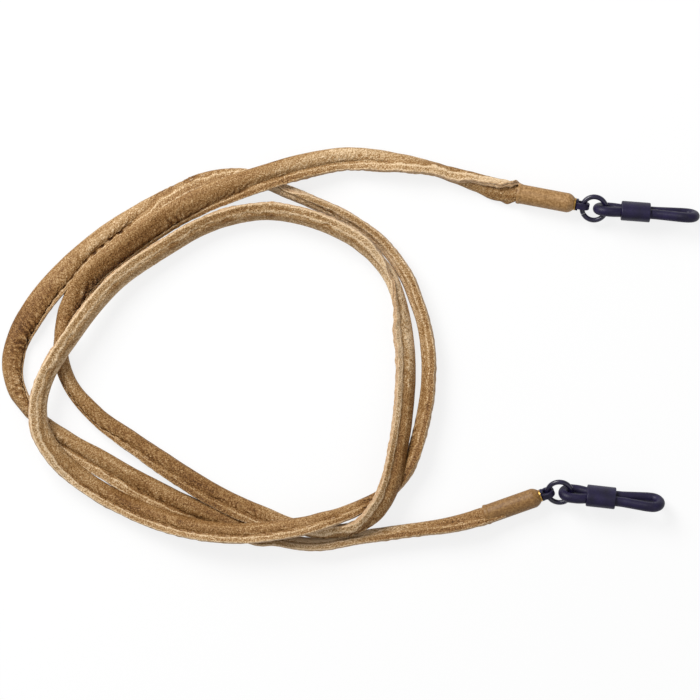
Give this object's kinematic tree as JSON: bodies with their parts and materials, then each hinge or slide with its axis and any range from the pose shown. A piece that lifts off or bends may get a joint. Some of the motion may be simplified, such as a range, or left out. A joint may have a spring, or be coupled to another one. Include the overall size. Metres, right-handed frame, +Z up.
{
  "type": "eyeglass retainer strap",
  "caption": "Eyeglass retainer strap: a loosely coiled stitched leather cord with a ferrule, jump ring and adjustable rubber temple loop with slide sleeve at each end.",
  "frame": {"origin": "on the surface the strap lies on, under the middle of its bounding box", "axes": "+X from the coil towards the two grip loops, +Z up, away from the surface"},
  "size_m": [0.139, 0.0808, 0.0079],
  "materials": {
    "tan_leather": "smooth tan leather with paler raw edges",
    "core_cord": "undyed twisted cotton cord",
    "seam_thread": "tan polyester sewing thread",
    "tan_cap": "matt tan, fine grain",
    "brass": "bright drawn tube",
    "navy_rubber": "satin moulded rubber, very dark navy",
    "black_enamel": "semi-gloss black enamel on steel wire"
  },
  "bodies": {
    "strap": {"strap_cover": "tan_leather", "strap_core": "core_cord", "seam_thread": "seam_thread", "ferrule_a": "tan_cap", "crimp_eyelet_a": "brass", "eye_tab_a": "navy_rubber", "ferrule_b": "tan_cap", "crimp_eyelet_b": "brass", "eye_tab_b": "navy_rubber"},
    "ring_a": {"jump_ring_a": "black_enamel"},
    "grip_a": {"grip_loop_a": "navy_rubber"},
    "sleeve_a": {"slide_sleeve_a": "navy_rubber"},
    "ring_b": {"jump_ring_b": "black_enamel"},
    "grip_b": {"grip_loop_b": "navy_rubber"},
    "sleeve_b": {"slide_sleeve_b": "navy_rubber"}
  },
  "joints": [
    {"name": "ring_fold_a", "type": "hinge", "parent": "strap", "child": "ring_a", "pos_m": [0.04607, 0.02938, 0.00292], "axis": [-0.2441, -0.931, -0.2715], "range_deg": [-80, 80]},
    {"name": "grip_swivel_a", "type": "hinge", "parent": "ring_a", "child": "grip_a", "pos_m": [0.0484, 0.0288, 0.00281], "axis": [-0.0207, -0.2749, 0.9613], "range_deg": [-75, 75]},
    {"name": "sleeve_slide_a", "type": "slide", "parent": "grip_a", "child": "sleeve_a", "axis": [0.9972, -0.075, 0], "range_m": [-0.0005, 0.0036]},
    {"name": "ring_fold_b", "type": "hinge", "parent": "strap", "child": "ring_b", "pos_m": [0.03911, -0.02811, 0.00271], "axis": [0.1146, -0.8562, -0.5038], "range_deg": [-80, 80]},
    {"name": "grip_swivel_b", "type": "hinge", "parent": "ring_b", "child": "grip_b", "pos_m": [0.04149, -0.02794, 0.00297], "axis": [-0.0565, -0.5119, 0.8572], "range_deg": [-75, 75]},
    {"name": "sleeve_slide_b", "type": "slide", "parent": "grip_b", "child": "sleeve_b", "axis": [0.994, -0.1097, 0], "range_m": [-0.0005, 0.0036]}
  ]
}
